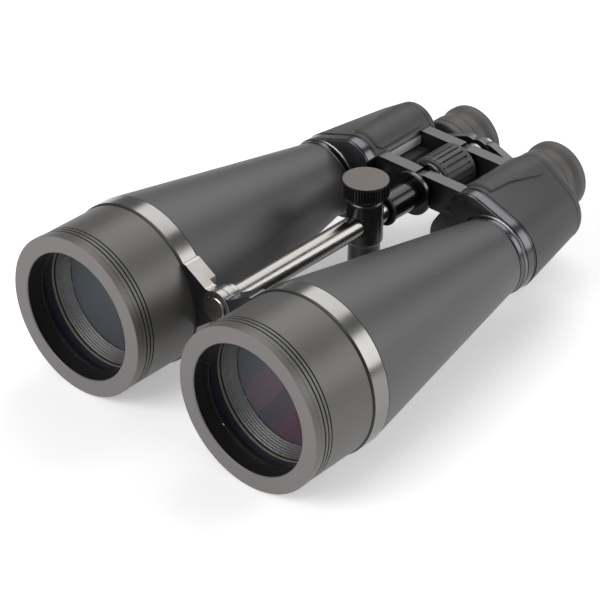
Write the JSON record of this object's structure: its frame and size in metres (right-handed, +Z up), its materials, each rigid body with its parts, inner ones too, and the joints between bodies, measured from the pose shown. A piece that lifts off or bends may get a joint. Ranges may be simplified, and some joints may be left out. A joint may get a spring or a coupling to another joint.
{
  "type": "binoculars",
  "caption": "Large Porro-prism binoculars with wide objective hoods, a centre focus wheel, a folding hinge and a tripod post that slides on a polished centre rod.",
  "frame": {"origin": "middle of the footprint, at the height of the lowest points of the two objective bands", "axes": "+X to the user's left, +Y from the objectives to the eyepieces, +Z up"},
  "size_m": [0.238, 0.3266, 0.1032],
  "materials": {
    "hood_metal": "satin, dark grey anodised",
    "polished_metal": "polished dark gunmetal plating",
    "black_metal": "satin black anodised",
    "barrel_paint": "fine-grained matte dark coating",
    "satin_metal": "satin grey, bead blasted",
    "rod_steel": "polished",
    "armour_rubber": "fine-grained matte",
    "cover_plastic": "smooth matte",
    "eyecup_rubber": "soft matte",
    "wheel_rubber": "matte, ribbed",
    "knob_plastic": "gloss ribbed side with a satin grey cap",
    "insert_brass": "turned",
    "objective_glass": "anti-reflection coated, purple and blue",
    "prism_glass": "clear, polished"
  },
  "bodies": {
    "centre": {"centre_rod": "rod_steel", "front_collar": "rod_steel", "stop_ring": "black_metal", "flange_sleeve": "rod_steel", "hinge_shaft": "rod_steel", "hinge_nut": "rod_steel"},
    "left_half": {"left_hood": "hood_metal", "left_retaining_ring": "black_metal", "left_objective_cell": "black_metal", "left_crown_lens": "objective_glass", "left_flint_lens": "objective_glass", "left_objective_band": "polished_metal", "left_barrel": "barrel_paint", "left_light_baffle": "black_metal", "left_prism_plate": "polished_metal", "left_prism_housing": "satin_metal", "left_rubber_armour": "armour_rubber", "left_prism_shelf": "black_metal", "left_front_prism": "prism_glass", "left_rear_prism": "prism_glass", "left_rear_cover": "cover_plastic", "left_guide_tube": "black_metal"},
    "right_half": {"right_hood": "hood_metal", "right_retaining_ring": "black_metal", "right_objective_cell": "black_metal", "right_crown_lens": "objective_glass", "right_flint_lens": "objective_glass", "right_objective_band": "polished_metal", "right_barrel": "barrel_paint", "right_light_baffle": "black_metal", "right_prism_plate": "polished_metal", "right_prism_housing": "satin_metal", "right_rubber_armour": "armour_rubber", "right_prism_shelf": "black_metal", "right_front_prism": "prism_glass", "right_rear_prism": "prism_glass", "right_rear_cover": "cover_plastic", "right_guide_tube": "black_metal"},
    "left_eyepiece": {"left_eyepiece_tube": "black_metal", "left_field_lens": "prism_glass", "left_eye_lens": "prism_glass", "left_eyepiece_ring": "eyecup_rubber", "left_eyecup": "eyecup_rubber", "left_bridge_arm": "satin_metal"},
    "right_eyepiece": {"right_eyepiece_tube": "black_metal", "right_field_lens": "prism_glass", "right_eye_lens": "prism_glass", "right_eyecup": "eyecup_rubber", "right_bridge_arm": "satin_metal"},
    "dioptre": {"right_dioptre_ring": "eyecup_rubber"},
    "focus_wheel": {"focus_wheel_core": "black_metal", "focus_wheel_ring": "rod_steel", "focus_wheel_grip": "wheel_rubber"},
    "focus_carriage": {"focus_shaft": "rod_steel", "bridge_nut": "rod_steel"},
    "tripod_post": {"clamp_post": "black_metal", "thread_insert": "insert_brass", "clamp_pad": "insert_brass"},
    "clamp_knob": {"thumb_knob": "knob_plastic", "clamp_screw": "rod_steel"}
  },
  "joints": [
    {"name": "left_hinge", "type": "hinge", "parent": "centre", "child": "left_half", "pos_m": [0, 0, 0.0655], "axis": [0, 1, 0], "range_deg": [-9.8, 16.5]},
    {"name": "right_hinge", "type": "hinge", "parent": "centre", "child": "right_half", "pos_m": [0, 0, 0.0655], "axis": [0, 1, 0], "range_deg": [-16.5, 9.8]},
    {"name": "focus_turn", "type": "hinge", "parent": "centre", "child": "focus_wheel", "pos_m": [0, 0.0897, 0.0655], "axis": [0, 1, 0], "range_deg": [-60, 340]},
    {"name": "focus_travel", "type": "slide", "parent": "centre", "child": "focus_carriage", "axis": [0, 1, 0], "range_m": [-0.0015, 0.0085]},
    {"name": "left_focus", "type": "slide", "parent": "left_half", "child": "left_eyepiece", "axis": [0, 1, 0], "range_m": [-0.0015, 0.0085]},
    {"name": "right_focus", "type": "slide", "parent": "right_half", "child": "right_eyepiece", "axis": [0, 1, 0], "range_m": [-0.0015, 0.0085]},
    {"name": "dioptre_turn", "type": "hinge", "parent": "right_eyepiece", "child": "dioptre", "pos_m": [-0.0345, 0.139, 0.0477], "axis": [0, 1, 0], "range_deg": [-45, 45]},
    {"name": "post_slide", "type": "slide", "parent": "centre", "child": "tripod_post", "axis": [0, 1, 0], "range_m": [-0.08, 0.004]},
    {"name": "knob_turn", "type": "hinge", "parent": "tripod_post", "child": "clamp_knob", "pos_m": [0, 0.0137, 0.0899], "axis": [0, 0, 1], "range_deg": [-20, 340]}
  ],
  "couplings": [
    {"joint": "right_hinge", "follows": "left_hinge", "ratio": -1},
    {"joint": "focus_turn", "follows": "focus_travel", "rad_per_m": 698.13},
    {"joint": "left_focus", "follows": "focus_travel", "ratio": 1},
    {"joint": "right_focus", "follows": "focus_travel", "ratio": 1}
  ]
}
